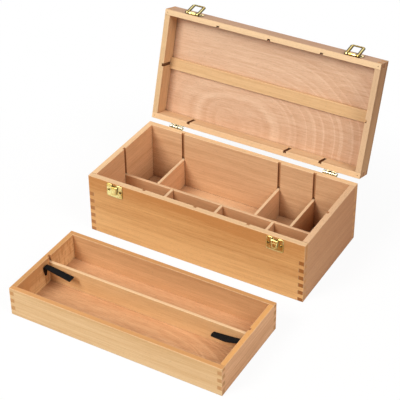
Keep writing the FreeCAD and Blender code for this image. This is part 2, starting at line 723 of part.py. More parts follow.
plate_y = f"{latch_y} - dims.latch_plate_thick"
leaf_y = "dims.box_width / 2 + dims.hinge_leaf_thick"
make_screws("latch_catch_screws", at(y=plate_y), catch_spots)
make_screws("latch_lid_screws", f"{lid_swing} * {at(y=plate_y, z=lid_rim)}", lid_plate_spots)
make_screws("hinge_base_screws", at(y=leaf_y, turn="180"), hinge_spots)
make_screws("hinge_lid_screws", f"{lid_swing} * {at(y=leaf_y, z=lid_rim, turn='180')}", lid_hinge_spots)

tray_start = f"(dims.tray_height - dims.tray_finger_top - {tray_fingers - 0.5} * dims.finger_pitch)"
tray_grooves = {"left": ["(-dims.tray_divider_offset)"], "right": ["dims.tray_divider_offset"]}
for side in sides:
    ends = "long" if side in ("front", "back") else "short"
    make_wall(
        f"tray_{side}_wall", side_place(side, "tray", "0", "dims.tray_x", "dims.tray_y"),
        "dims.tray_length" if ends == "long" else "dims.tray_width", "dims.tray_height", "dims.tray_wall",
        ends, tray_start, tray_fingers, ("dims.tray_bottom_thick", "dims.tray_lap", False),
        tray_grooves.get(side, ()),
    )
tray_at = at("dims.tray_x", "dims.tray_y")
tray_seat_x = f"({tray_inner_length} / 2 + dims.tray_lap)"
tray_seat_y = f"({tray_inner_width} / 2 + dims.tray_lap)"
make_board(
    "tray_bottom_panel", tray_at, f"-{tray_seat_x}", tray_seat_x, f"-{tray_seat_y}", tray_seat_y,
    "0", "dims.tray_bottom_thick",
)
tray_reach = f"({tray_inner_length} / 2 + dims.groove_depth - dims.divider_end_gap)"
make_board(
    "tray_divider", tray_at, f"-{tray_reach}", tray_reach, f"dims.tray_divider_offset - {web}",
    f"dims.tray_divider_offset + {web}", "(dims.tray_bottom_thick + dims.divider_seat_gap)",
    "(dims.tray_height - dims.tray_divider_drop)", "(dims.tray_height - dims.tray_divider_drop)",
)
tab_y = "(dims.tray_y + dims.tab_offset)"
tab_height = "(dims.tab_leg + dims.tab_bend + dims.tab_thick / 2)"
for kind, sign, turn in (("left", "-", "0"), ("right", "+", "180")):
    wall_x = f"dims.tray_x {sign} {tray_inner_length} / 2"
    place = at(wall_x, tab_y, f"dims.tab_{kind}_level - {tab_height}", turn)
    make_tab(f"tray_lift_tab_{kind}", place, kind)

doc.recompute()
for item in doc.Objects:
    if "Invalid" in item.State or "Error" in item.State:
        raise RuntimeError(f"{item.Name} failed: {item.State}")
    if item.TypeId == "PartDesign::Pocket" and item.Shape.Volume > item.BaseFeature.Shape.Volume - 1e-3:
        raise RuntimeError(f"{item.Name} cuts nothing")
os.makedirs("parts", exist_ok=True)
for piece in pieces:
    if piece.Shape.isNull() or not piece.Shape.isValid():
        raise RuntimeError(f"{piece.Label} has no valid shape")
for piece in pieces:
    piece.Shape.exportStep(f"parts/{piece.Label}.step")
    print(f"{piece.Label}: {len(piece.Shape.Solids)} solid, {piece.Shape.Volume:.0f} mm3")
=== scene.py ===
import json
import math

import bpy
import numpy as np
from mathutils import Matrix, Vector

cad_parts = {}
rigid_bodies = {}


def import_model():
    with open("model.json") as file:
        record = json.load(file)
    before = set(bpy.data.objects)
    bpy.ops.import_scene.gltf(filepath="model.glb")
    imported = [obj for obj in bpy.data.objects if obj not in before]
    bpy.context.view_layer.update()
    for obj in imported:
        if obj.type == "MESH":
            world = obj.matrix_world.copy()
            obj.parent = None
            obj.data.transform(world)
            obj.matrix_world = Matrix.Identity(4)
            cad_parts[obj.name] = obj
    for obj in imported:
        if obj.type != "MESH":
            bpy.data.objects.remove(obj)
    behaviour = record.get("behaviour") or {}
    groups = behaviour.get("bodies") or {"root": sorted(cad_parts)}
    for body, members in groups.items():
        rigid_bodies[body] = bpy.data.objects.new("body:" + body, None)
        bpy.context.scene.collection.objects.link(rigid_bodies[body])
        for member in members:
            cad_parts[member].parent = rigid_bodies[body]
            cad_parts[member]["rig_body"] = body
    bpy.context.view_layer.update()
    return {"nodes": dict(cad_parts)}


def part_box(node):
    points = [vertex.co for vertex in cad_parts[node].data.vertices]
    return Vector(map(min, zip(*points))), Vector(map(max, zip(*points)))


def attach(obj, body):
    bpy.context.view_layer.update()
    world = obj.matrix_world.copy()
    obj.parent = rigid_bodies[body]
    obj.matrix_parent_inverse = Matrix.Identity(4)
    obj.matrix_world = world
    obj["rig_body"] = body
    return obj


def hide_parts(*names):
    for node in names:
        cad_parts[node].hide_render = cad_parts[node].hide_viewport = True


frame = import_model()
nodes = frame["nodes"]
scene = bpy.context.scene
scene.view_settings.view_transform = "Standard"


def tone(red, green, blue):
    # screen colour 0-255 to the linear value a socket takes, by the standard screen curve
    share = np.array([red, green, blue]) / 255
    linear = np.where(share <= 0.04045, share / 12.92, ((share + 0.055) / 1.055) ** 2.4)
    return (*linear.tolist(), 1.0)


class Wire:
    # wraps one output socket; arithmetic on wires adds Math nodes to the same tree
    def __init__(self, tree, socket=None):
        self.tree = tree
        self.socket = socket

    def node(self, kind, settings=None, sockets=None, out=0):
        made = self.tree.nodes.new(kind)
        for key, value in (settings or {}).items():
            setattr(made, key, value)
        for key, value in (sockets or {}).items():
            if isinstance(value, Wire):
                self.tree.links.new(value.socket, made.inputs[key])
            else:
                made.inputs[key].default_value = value
        return Wire(self.tree, made.outputs[out] if len(made.outputs) else None)

    def math(self, operation, *terms):
        return self.node("ShaderNodeMath", {"operation": operation}, dict(enumerate(terms)))

    def vector(self, operation, *terms, out=0):
        return self.node("ShaderNodeVectorMath", {"operation": operation}, dict(enumerate(terms)), out)

    def dot(self, direction):
        return self.vector("DOT_PRODUCT", self, direction, out="Value")

    def least(self, other):
        return self.math("MINIMUM", self, other)

    def most(self, other):
        return self.math("MAXIMUM", self, other)

    def rise(self, low, high):
        # 0 below low, 1 above high, smooth between
        settings = {"interpolation_type": "SMOOTHSTEP"}
        return self.node("ShaderNodeMapRange", settings, {"Value": self, "From Min": low, "From Max": high})

    def noise(self, stretch, detail=2.0, rough=0.5):
        # stretch is one scale, or one for each axis
        even = isinstance(stretch, float)
        place = self if even else self.vector("MULTIPLY", self, stretch)
        sockets = {"Vector": place, "Scale": stretch if even else 1.0, "Detail": detail, "Roughness": rough}
        return self.node("ShaderNodeTexNoise", None, sockets)

    def mix(self, share, first, second):
        # inputs 6 and 7 and output 2 are the node's colours
        settings = {"data_type": "RGBA", "clamp_factor": True}
        return self.node("ShaderNodeMix", settings, {0: share, 6: first, 7: second}, out=2)

    def __abs__(self):
        return self.math("ABSOLUTE", self)

    def __add__(self, other):
        return self.math("ADD", self, other)

    def __radd__(self, other):
        return self.math("ADD", other, self)

    def __sub__(self, other):
        return self.math("SUBTRACT", self, other)

    def __rsub__(self, other):
        return self.math("SUBTRACT", other, self)

    def __mul__(self, other):
        return self.math("MULTIPLY", self, other)

    def __rmul__(self, other):
        return self.math("MULTIPLY", other, self)

    def __truediv__(self, other):
        return self.math("DIVIDE", self, other)

    def __rtruediv__(self, other):
        return self.math("DIVIDE", other, self)

    def __pow__(self, other):
        return self.math("POWER", self, other)

    def __rpow__(self, other):
        return self.math("POWER", other, self)


def openTree(owner):
    owner.use_nodes = True
    owner.node_tree.nodes.clear()
    return Wire(owner.node_tree)


def startMaterial(name):
    material = bpy.data.materials.new(name)
    return material, openTree(material)


def surface(paint, **sockets):
    # the shader and the output; sockets are named as on the shader, with _ for a space
    named = {key.replace("_", " "): value for key, value in sockets.items()}
    shader = paint.node("ShaderNodeBsdfPrincipled", None, named)
    paint.node("ShaderNodeOutputMaterial", None, {"Surface": shader})


def relief(paint, height, strength, distance, **normal):
    sockets = {"Strength": strength, "Distance": distance, "Height": height, **normal}
    return paint.node("ShaderNodeBump", None, sockets, out="Normal")


def openness(paint, reach, samples):
    # 1 in the open, less where other surfaces stand within reach
    return paint.node("ShaderNodeAmbientOcclusion", {"samples": samples}, {"Distance": reach}, out="AO")


def shaded(paint, colour, value):
    return paint.node("ShaderNodeHueSaturation", None, {"Value": value, "Color": colour})


def dress(name, material):
    nodes[name].data.materials.clear()
    nodes[name].data.materials.append(material)


def readCorners(name):
    corners = np.zeros(len(nodes[name].data.vertices) * 3, np.float32)
    nodes[name].data.vertices.foreach_get("co", corners)
    return corners.reshape(-1, 3)


def makePiece(name, points, faces, material):
    mesh = bpy.data.meshes.new(name)
    mesh.from_pydata(points.tolist(), [], faces)
    mesh.shade_smooth()
    mesh.materials.append(material)
    piece = bpy.data.objects.new(name, mesh)
    scene.collection.objects.link(piece)
    return piece


# camera at the photograph's angle

view = {
    "azimuth": 30.087,
    "elevation": 35.275,
    "roll": 0.534,
    "distance": 2.1502,
    "lookAt": (-0.03258, -0.01741, 0.06858),
    "focalPixels": 1288.6,
    "framePixels": 400,
    "sensorWidth": 36,
}


def setCamera():
    # turn and lift give the line back to the camera, and the roll tilts its other two axes about that line
    turn, lift, roll = (math.radians(view[key]) for key in ("azimuth", "elevation", "roll"))
    back = Vector((math.sin(turn) * math.cos(lift), -math.cos(turn) * math.cos(lift), math.sin(lift)))
    side = Vector((0, 0, 1)).cross(back).normalized()
    up = back.cross(side)
    right = side * math.cos(roll) - up * math.sin(roll)
    above = side * math.sin(roll) + up * math.cos(roll)
    lens = bpy.data.cameras.new("photoCamera")
    lens.sensor_width = view["sensorWidth"]
    lens.lens = view["focalPixels"] * view["sensorWidth"] / view["framePixels"]
    camera = bpy.data.objects.new("photoCamera", lens)
    place = Vector(view["lookAt"]) + back * view["distance"]
    camera.matrix_world = Matrix.Translation(place) @ Matrix((right, above, back)).transposed().to_4x4()
    scene.collection.objects.link(camera)
    scene.camera = camera


setCamera()
print("camera set")

# studio: white backdrop, soft lamps, pale floor

studio = {
    "skyLevel": 0.30,
    "aim": (0, -0.08, 0.08),  # what the lamps point at
    "lamps": {
        "frontLamp": {"place": (-1.2, -2.65, 2.7), "size": 1.7, "power": 105, "colour": (255, 252, 248)},
        "sideLamp": {"place": (2.7, -0.9, 2.7), "size": 1.8, "power": 57, "colour": (255, 251, 246)},
        "backLamp": {"place": (-1.5, 4.2, 1.1), "size": 3.2, "power": 22, "colour": (255, 250, 244)},
    },
}
ground = {
    "half": 6.0,  # from the middle to a side
    "drop": 0.0002,  # how far it lies under the box
    "white": (252, 252, 252),
    "plain": (188, 186, 183),  # what it throws back onto the box
    "shade": 0.08,  # how much of the object's shadow shows
    "shadeMiddle": (0.0, -0.1, 0.0),
    "shadeReach": (0.34, 0.62),  # where that shadow fades out, from its middle
}


def seenRay(paint):
    # 1 for what the camera sees, straight, mirrored or through glass
    kinds = ("Is Camera Ray", "Is Glossy Ray", "Is Transmission Ray")
    camera, mirrored, through = (paint.node("ShaderNodeLightPath", out=kind) for kind in kinds)
    return camera.most(mirrored).most(through)


def setStudio():
    world = bpy.data.worlds.new("studioWorld")
    scene.world = world
    paint = openTree(world)
    level = studio["skyLevel"] + seenRay(paint) * (1 - studio["skyLevel"])
    sky = paint.node("ShaderNodeBackground", None, {"Color": (1, 1, 1, 1), "Strength": level})
    paint.node("ShaderNodeOutputWorld", None, {"Surface": sky})
    for name, setup in studio["lamps"].items():
        lamp = bpy.data.lights.new(name, "AREA")
        lamp.shape = "DISK"
        lamp.size = setup["size"]
        lamp.energy = setup["power"]
        lamp.color = tone(*setup["colour"])[:3]
        holder = bpy.data.objects.new(name, lamp)
        aim = Vector(studio["aim"]) - Vector(setup["place"])
        turned = aim.to_track_quat("-Z", "Y").to_matrix().to_4x4()
        holder.matrix_world = Matrix.Translation(setup["place"]) @ turned
        scene.collection.objects.link(holder)


def makeFloor():
    # one flat square; seen directly it is mostly its own white, so the shadow stays faint
    half, drop = ground["half"], ground["drop"]
    corners = [(x * half, y * half, -drop) for x, y in ((-1, -1), (1, -1), (1, 1), (-1, 1))]
    mesh = bpy.data.meshes.new("studioFloor")
    mesh.from_pydata(corners, [], [(0, 1, 2, 3)])
    floor = bpy.data.objects.new("studioFloor", mesh)
    scene.collection.objects.link(floor)
    material, paint = startMaterial("paleFloor")
    place = paint.node("ShaderNodeTexCoord", out="Object")
    fromMiddle = place.vector("SUBTRACT", place, ground["shadeMiddle"])
    away = fromMiddle.vector("LENGTH", fromMiddle, out="Value")
    shade = (1 - away.rise(*ground["shadeReach"])) * ground["shade"]
    white = paint.node("ShaderNodeBsdfDiffuse", None, {"Color": tone(*ground["white"])})
    glow = paint.node("ShaderNodeEmission", None, {"Color": (1, 1, 1, 1), "Strength": 1.0})
    shown = paint.node("ShaderNodeMixShader", None, {0: shade, 1: glow, 2: white})
    plain = paint.node("ShaderNodeBsdfDiffuse", None, {"Color": tone(*ground["plain"])})
    blend = paint.node("ShaderNodeMixShader", None, {0: seenRay(paint), 1: plain, 2: shown})
    paint.node("ShaderNodeOutputMaterial", None, {"Surface": blend})
    mesh.materials.append(material)


setStudio()
makeFloor()
print("studio set")

# wood: every board is cut from its own place in a log, in its own three directions

lidOpen = math.radians(106.6)


def swung(x, y, z):
    # a direction on the closed lid, turned with the lid as it stands open
    cosine, sine = math.cos(lidOpen), math.sin(lidOpen)
    return (x, y * cosine + z * sine, z * cosine - y * sine)


alongX = ((1, 0, 0), (0, 0, 1), (0, 1, 0))  # along, across, through
alongY = ((0, 1, 0), (0, 0, 1), (1, 0, 0))
flatX = ((1, 0, 0), (0, 1, 0), (0, 0, 1))
lidX = ((1, 0, 0), swung(0, 0, 1), swung(0, 1, 0))
lidY = (swung(0, 1, 0), swung(0, 0, 1), (1, 0, 0))
lidFlat = ((1, 0, 0), swung(0, 1, 0), swung(0, 0, 1))
# painted shade: the dark brown of shaded corners and of the lid's grooves
shadeBrown = (112, 66, 34)

beech = {  # each board adds its own pale and deep tones, and a seed, its place in the log
    "cut": alongX,
    "edge": (238, 198, 152),  # the narrow rim faces
    "end": (196, 138, 82),
    "endShare": 0.92,
    "groove": (206, 152, 106),  # painted shade in saw cuts and holes
    "pith": (0.05, 0.075),  # across and through, from the board's middle to the heart of the log
    "loop": None,  # for peeled veneer: place along the sheet, and stretch, of the closed rings
    "rings": 0.0050,
    "wander": 0.016,  # how far the rings stray along the board
    "ripple": 0.25,  # the share of that in short waves
    "square": 2.0,  # 2 for oval rings, more for squarer ones
    "ringShare": 0.34,
    "streakShare": 0.42,
    "bandShare": 0.34,
    "broadShare": 0.40,
    "dashShare": 0.30,
    "fleckShare": 0.30,
    "rayShare": 0.0,  # short marks across a quarter-sawn board
    "lineShare": 0.0,  # thin pale lines between the rings of peeled veneer
    "lineGap": 1.2,  # from line to line, in rings
    "plainHeart": 3.0,  # how many rings about the heart have no such line
    "lean": (0.0, 0.0),  # painted shading: how much darker the board grows along and across, as the light falls off over it
    "cornerShare": 0.55,  # how dark the painted shade is in the corners against other boards
    "bayShare": 0.0,  # painted shade over the whole of a narrow bay
}
boards = {
    # painted light: the front wall grows paler towards its lower edge, for light thrown back by the floor
    "base_front_wall": {
        "pale": (241, 189, 125), "deep": (205, 142, 80), "seed": 3.1, "lean": (0.10, 0.50),
        "broadShare": 0.50, "bandShare": 0.18, "streakShare": 0.38, "dashShare": 0.22,
    },
    "base_back_wall": {
        "pale": (240, 198, 152), "deep": (214, 164, 120), "seed": 7.7,
        "pith": (-0.03, 0.09), "bayShare": 0.90,
    },
    "base_left_wall": {
        "cut": alongY, "pale": (244, 197, 150), "deep": (220, 166, 120), "end": (178, 118, 66), "seed": 11.3,
    },
    # darker than the other walls, partly its own tone and partly painted shade on the right-hand side, darker
    # still towards the back
    "base_right_wall": {
        "cut": alongY, "pale": (209, 150, 96), "deep": (190, 128, 79), "edge": (226, 184, 144), "seed": 15.9,
        "end": (152, 90, 34), "lean": (0.4, 0.0), "streakShare": 0.30, "bandShare": 0.20, "fleckShare": 0.40,
    },
    "long_divider": {
        "pale": (218, 171, 125), "deep": (194, 143, 99), "edge": (224, 184, 143), "seed": 21.2,
        "bayShare": 0.90,
    },
    # painted light: the tray's front wall grows paler towards its lower edge, for light thrown back by the
    # floor
    "tray_front_wall": {
        "pale": (239, 202, 152), "deep": (219, 173, 119), "edge": (216, 157, 98), "seed": 31.5,
        "lean": (0.0, 0.30), "bandShare": 0.55, "broadShare": 0.50,
    },
    "tray_back_wall": {
        "pale": (235, 188, 138), "deep": (201, 149, 100), "edge": (209, 151, 94), "seed": 36.4,
        "pith": (0.004, 0.034), "lean": (0.1, 0.40),
        "streakShare": 0.34, "bandShare": 0.2, "cornerShare": 0.2,
    },
    # painted light: paler towards its lower edge, for light thrown back onto it
    "tray_left_wall": {
        "cut": alongY, "pale": (255, 213, 156), "deep": (214, 158, 104), "edge": (216, 158, 98), "seed": 41.8,
        "end": (200, 148, 96), "lean": (-0.45, 0.70), "bandShare": 0.3, "rayShare": 0.9,
    },
    "tray_right_wall": {
        "cut": alongY, "pale": (242, 186, 135), "deep": (214, 152, 102), "edge": (226, 166, 101),
        "end": (200, 148, 96), "bandShare": 0.6, "seed": 46.1,
    },
    "tray_divider": {"pale": (237, 199, 147), "deep": (212, 167, 115), "seed": 52.6, "cornerShare": 0.2},
    # painted shade: darker than the other lid boards for the shade on its outer face, and near black in its
    # rim's notches
    "lid_front_wall": {
        "cut": lidX, "pale": (200, 154, 114), "deep": (181, 130, 90), "edge": (234, 200, 157), "seed": 57.3,
        "end": (140, 86, 44), "groove": (66, 38, 18),
    },
    "lid_back_wall": {
        "cut": lidX, "pale": (236, 203, 162), "deep": (216, 174, 130), "seed": 63.9,
        "end": (150, 94, 50), "groove": shadeBrown,
    },
    "lid_left_wall": {
        "cut": lidY, "pale": (222, 180, 136), "deep": (202, 156, 112), "edge": (224, 187, 141), "seed": 68.2,
        "groove": shadeBrown,
    },
    # painted shade: darker than the other lid boards for the shade on the right-hand side, and darker still
    # towards one end
    "lid_right_wall": {
        "cut": lidY, "pale": (192, 139, 82), "deep": (150, 99, 52), "edge": (217, 180, 141), "seed": 74.4,
        "groove": shadeBrown, "lean": (-0.30, 0.0),
    },
    "lid_batten": {
        "cut": lidFlat, "pale": (233, 194, 145), "deep": (211, 166, 116), "edge": (228, 190, 140),
        "seed": 79.7,
    },
}
crossBoard = {"cut": alongY, "pale": (232, 184, 138), "deep": (208, 156, 112), "edge": (234, 200, 160)}
# painted light and shade: the left and middle rear dividers paler than the other cross boards, the right one
# darker
rearBoards = {
    "left": {"pale": (242, 195, 149), "deep": (218, 167, 123)},
    "middle": {"pale": (242, 195, 149), "deep": (218, 167, 123)},
    "right": {"pale": (224, 174, 127), "deep": (200, 146, 101), "bayShare": 0.90},
}
for number, (name, own) in enumerate(rearBoards.items()):
    boards[f"front_divider_{name}"] = {**crossBoard, "seed": 84.0 + 5.3 * number}
    boards[f"rear_divider_{name}"] = {**crossBoard, **own, "seed": 101.0 + 4.9 * number}
bayShares = {"lid": 0.0, "tray": 0.45, "base": 0.65}  # painted shade in narrow bays, by part; the dividers as the base
for name, board in boards.items():
    board.setdefault("bayShare", bayShares.get(name.split("_")[0], bayShares["base"]))

veneer = {
    **beech,
    "cut": flatX,
    "rings": 0.0085,
    "pith": (0.038, 0.0),
    "loop": (-0.068, 0.46),
    "wander": 0.040,
    "ripple": 0.10,
    "ringShare": 0.24,
    "streakShare": 0.38,
    "bandShare": 0.18,
    "broadShare": 0.34,
    "fleckShare": 0.45,
    "lineShare": 0.30,
    "dashShare": 0.45,
}
panels = {
    "base_bottom_panel": {"pale": (232, 192, 150), "deep": (212, 164, 122), "seed": 121.5, "bayShare": 0.7},
    "tray_bottom_panel": {
        "pale": (227, 180, 135), "deep": (193, 136, 92), "seed": 133.2, "lean": (0.15, -0.12),
        "pith": (-0.045, 0.0), "loop": (0.0, 0.34), "wander": 0.02, "plainHeart": 3.5,
        "ringShare": 0.14, "broadShare": 0.2, "cornerShare": 0.15, "bayShare": 0.45,
    },
    "lid_top_panel": {
        "cut": lidFlat, "pale": (231, 195, 163), "deep": (205, 158, 123), "seed": 147.9, "lean": (0.12, 0.22),
        "pith": (0.074, 0.0), "loop": (-0.052, 0.62), "wander": 0.018, "plainHeart": 5.6, "square": 2.5,
        "lineShare": 0.42, "cornerShare": 0.60,
    },
}

figure = {  # each noise: stretch along, across and through the board, detail, roughness
    "stray": ((3.2, 7.0, 7.0), 2.0, 0.5),  # long and short swings of the heart's line
    "sway": ((14.0, 40.0, 40.0), 2.0, 0.5),
    "streak": ((7.0, 430.0, 430.0), 4.0, 0.65),
    "band": ((4.5, 230.0, 230.0), 3.0, 0.55),
    "broad": ((3.0, 26.0, 26.0), 3.0, 0.5),
    "dash": ((50.0, 560.0, 560.0), 2.0, 0.5),
    "fleck": ((230.0, 2100.0, 2100.0), 1.0, 0.5),
    "ray": ((290.0, 34.0, 290.0), 2.0, 0.5),
}
contrast = {"streak": 2.2, "band": 2.4, "broad": 2.4, "dash": 2.4}
growthRings = {
    "drift": 1.5,  # how fast a ring's tone changes along the board
    "detail": 3.0,
    "rough": 0.6,
    "rise": (0.34, 0.68),
}
veneerLines = {
    "crest": (0.2, 1.0),  # the part of each wave that shows as a line
    "uneven": 16.0,  # how irregularly the waves follow each other
    "heartEdge": 0.4,  # in rings, where the lines set in
    "far": 1.6,  # they grow stronger towards the far end
    "farRise": (-0.20, 0.22),
    "outer": (2.4, 3.4),  # and weaker outside, in plain hearts
    "outerLoss": 0.6,
    "loopEdge": (0.1, 0.9),  # half width, in rings, of the pale loop round the heart
    "loopShare": 0.8,
}
finish = {
    "fleckRise": (0.62, 0.74),
    "fleckTone": 0.62,  # share of the deep tone
    "rayRise": (0.50, 0.70),
    "facing": (0.6, 0.9),  # how squarely an edge or end face looks along its direction
    "edgeLight": (1.06, 0.12),  # value of an edge's tone, and what a deep figure takes off
    "endLight": (0.86, 0.14, 0.28),  # value of an end's tone, and what rings and pores add
    "pores": 2600.0,
    "worn": (250, 222, 182),  # arrises rubbed by handling
    "wornReach": 0.0016,
    "wornPatch": 160.0,
    "wornShare": 0.55,
    "faceGap": (0.00004, 0.00012),  # a cut face lies this far inside both pairs of faces
    "cornerGap": (0.0007, 0.0011),
    "jointGap": (0.0106, 0.0110),  # and this far from the jointed ends
    # painted shade: grooves, corners against other boards and narrow bays are darkened where shade falls
    "grooveShare": 0.85,
    "cornerReach": 0.005,
    "cornerRise": (0.30, 0.75),
    "cornerTone": shadeBrown,
    "bayReach": 0.07,
    "bayRise": (0.06, 0.46),
    "bayTone": (108, 58, 25),
    "shelterSamples": 6,
    "rough": (0.50, 0.10, 0.12, 0.12),  # and what figure and end grain add and rubbing takes off
    "relief": (0.6, 0.25, 0.9, 0.8),  # heights of streaks, rings, sunk flecks and pores in the ends
    "reliefStrength": 0.35,
    "reliefDepth": 0.00025,
    "gloss": 0.35,
}


def lineFigure(wood, ringAt, growth, stray, run):
    # a sine of the ring count with an uneven phase, cut to its crests, and one loop at the plain heart's edge
    heart, edge = wood["plainHeart"], veneerLines["heartEdge"]
    turns = ringAt * (2 * math.pi / wood["lineGap"]) + (growth - 0.5) * veneerLines["uneven"]
    line = turns.math("SINE", turns).rise(*veneerLines["crest"]) * ringAt.rise(heart - edge, heart + edge)
    line = line * (stray + run * veneerLines["far"]).rise(*veneerLines["farRise"])
    outer = ringAt.rise(*(heart * share for share in veneerLines["outer"]))
    line = line * (1 - outer * veneerLines["outerLoss"])
    loop = 1 - abs(ringAt - heart).rise(*veneerLines["loopEdge"])
    return line.most(loop * veneerLines["loopShare"])


def woodMaterial(name, wood):
    # the board's own frame: run along it, lift across it and depth through it, from its middle
    spans = readCorners(name) @ np.array(wood["cut"]).T
    middle = ((spans.min(0) + spans.max(0)) / 2).tolist()
    half = ((spans.max(0) - spans.min(0)) / 2).tolist()
    material, paint = startMaterial(name + "_wood")
    place = paint.node("ShaderNodeTexCoord", out="Object")
    facing = paint.node("ShaderNodeTexCoord", out="Normal")
    run, lift, depth = (place.dot(axis) - start for axis, start in zip(wood["cut"], middle))
    grain = paint.node("ShaderNodeCombineXYZ", None, {0: run + wood["seed"], 1: lift, 2: depth})
    drawn = {key: grain.noise(*setup) for key, setup in figure.items()}

    # growth rings: distance from the heart of the log, whose line strays along the board
    stray = drawn["stray"] - 0.5
    sway = (drawn["sway"] - 0.5) * (wood["ripple"] * wood["wander"])
    off = lift - wood["pith"][0] + stray * (2 * wood["wander"]) + sway
    if wood["loop"]:
        deep = (run - wood["loop"][0]) * wood["loop"][1] + sway
    else:
        deep = depth - wood["pith"][1]
    square = wood["square"]
    ringAt = (abs(off) ** square + abs(deep) ** square) ** (1 / square) / wood["rings"]
    ringPlace = {0: ringAt, 1: run * growthRings["drift"], 2: wood["seed"]}
    growth = paint.node("ShaderNodeCombineXYZ", None, ringPlace).noise(
        1.0, growthRings["detail"], growthRings["rough"])
    ring = growth.rise(*growthRings["rise"])

    # how deep the tone is: rings, streaks and patches drawn out along the board, and its lean, which is
    # painted shading
    depthOfTone = 0.5 + (ring - 0.5) * wood["ringShare"]
    for key, gain in contrast.items():
        depthOfTone = depthOfTone + (drawn[key] - 0.5) * (gain * wood[key + "Share"])
    if wood["lineShare"]:
        depthOfTone = depthOfTone - lineFigure(wood, ringAt, growth, stray, run) * wood["lineShare"]
    if wood["rayShare"]:
        depthOfTone = depthOfTone + drawn["ray"].rise(*finish["rayRise"]) * wood["rayShare"]
    # painted shading: the board grows darker towards one end and one edge
    leans = [share / size for share, size in zip(wood["lean"], half)]
    depthOfTone = depthOfTone + run * leans[0] + lift * leans[1]
    colour = paint.mix(depthOfTone, tone(*wood["pale"]), tone(*wood["deep"]))

    # narrow faces and end grain take their own tone but keep the figure; short dark flecks
    onEnd, onEdge = (abs(facing.dot(axis)).rise(*finish["facing"]) for axis in wood["cut"][:2])
    pores = place.noise(finish["pores"])
    flecked = drawn["fleck"].rise(*finish["fleckRise"]) * wood["fleckShare"]
    value, loss = finish["edgeLight"]
    colour = paint.mix(onEdge, colour, shaded(paint, tone(*wood["edge"]), value - depthOfTone * loss))
    value, fromRings, fromPores = finish["endLight"]
    endTone = shaded(paint, tone(*wood["end"]), value + ring * fromRings + pores * fromPores)
    colour = paint.mix(onEnd * wood["endShare"], colour, endTone)
    fleckTone = tone(*(part * finish["fleckTone"] for part in wood["deep"]))
    colour = paint.mix(flecked * (1 - onEnd), colour, fleckTone)

    # arrises rubbed paler: distance to the nearest arris is the middle of three distances
    gaps = [size - abs(at) for size, at in zip(half, (run, lift, depth))]
    nearArris = gaps[0].least(gaps[1]).most(gaps[0].most(gaps[1]).least(gaps[2]))
    worn = 1 - nearArris.rise(0.0, finish["wornReach"])
    worn = worn * place.noise(finish["wornPatch"]) * finish["wornShare"]
    colour = paint.mix(worn, colour, tone(*finish["worn"]))

    # painted shade in grooves and holes: what lies well inside the sawn block, away from its jointed ends
    inside = gaps[1].least(gaps[2]).rise(*finish["faceGap"])
    inside = inside * (gaps[1] + gaps[2]).rise(*finish["cornerGap"]) * gaps[0].rise(*finish["jointGap"])
    colour = paint.mix(inside * finish["grooveShare"], colour, tone(*wood["groove"]))

    # painted shade in corners and narrow bays, darkest where other surfaces stand close
    for key in ("corner", "bay"):
        if wood[key + "Share"]:
            sheltered = 1 - openness(paint, finish[key + "Reach"], finish["shelterSamples"]).rise(
                *finish[key + "Rise"])
            colour = paint.mix(sheltered * wood[key + "Share"], colour, tone(*finish[key + "Tone"]))

    plain, figured, ended, rubbed = finish["rough"]
    rough = plain + depthOfTone * figured + onEnd * ended - worn * rubbed
    streaked, ringed, sunk, pored = finish["relief"]
    height = drawn["streak"] * streaked + ring * ringed - flecked * sunk + pores * onEnd * pored
    bump = relief(paint, height, finish["reliefStrength"], finish["reliefDepth"])
    surface(paint, Base_Color=colour, Roughness=rough, Normal=bump, Specular_IOR_Level=finish["gloss"])
    return material


for name, own in boards.items():
    dress(name, woodMaterial(name, {**beech, **own}))
print("boards finished:", len(boards))
for name, own in panels.items():
    dress(name, woodMaterial(name, {**veneer, **own}))
print("panels finished:", len(panels))

# brass fittings

brass = {
    "polished": (255, 240, 166),
    "golden": (232, 194, 100),
    "pale": (255, 249, 216),  # the hinges' thinner plate
    "straw": (236, 212, 152),
    "screwShade": (120, 84, 34),  # painted shade: the screws, darker than the plates, as dark as their recesses look
    "tarnishAndShade": (58, 40, 14),  # tarnish on spots and patina in corners, and painted shade and dark reflection on edges and in corners
    "cloud": (110.0, 3.0),  # scale and detail
    "cloudRise": (0.40, 0.68),
    "lines": (3.0, 0.65),  # detail and roughness of the polishing lines
    "spots": 620.0,
    "spotRise": (0.60, 0.72),
    "edgeRise": (0.84, 0.995),
    "patinaShadeReach": 0.006,
    "patinaShadeRise": (0.42, 0.92),
    "darkening": (0.20, 0.85),  # by tarnish spots, and by patina and painted shade in recesses
    "rough": (0.17, 0.14, 0.06, 0.1),  # and what polishing lines, spots and edges add
    "reliefStrength": 0.25,
    "reliefDepth": 0.0001,
    "edgeSamples": 6,
    "patinaShadeSamples": 8,
}
# painted reflection on the bail: dark lines beside its edges, as a rolled strip would mirror dark
# surroundings
bail = {
    "arm": 0.006,  # widths of the arms and the bar
    "bar": 0.0032,
    "armShine": (0.05, 0.26),  # from the middle line, as shares of the width
    "barShine": (0.05, 0.28),
}


def bailEdges(place):
    # painted dark reflection: 1 beside the bail's edges and 0 along the middle lines of its arms and its bar
    low, high = (np.array(corner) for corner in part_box("latch_bail_right"))
    fromMiddle = abs(abs(place.dot((1, 0, 0))) - float(low[0] + high[0]) / 2)
    fromArm = abs(fromMiddle - (float(high[0] - low[0]) / 2 - bail["arm"] / 2))
    fromBar = abs(place.dot((0, 1, 0)) - (float(high[1]) - bail["bar"] / 2))
    besideArm = fromArm.rise(*(share * bail["arm"] for share in bail["armShine"]))
    besideBar = fromBar.rise(*(share * bail["bar"] for share in bail["barShine"]))
    return besideArm * besideBar


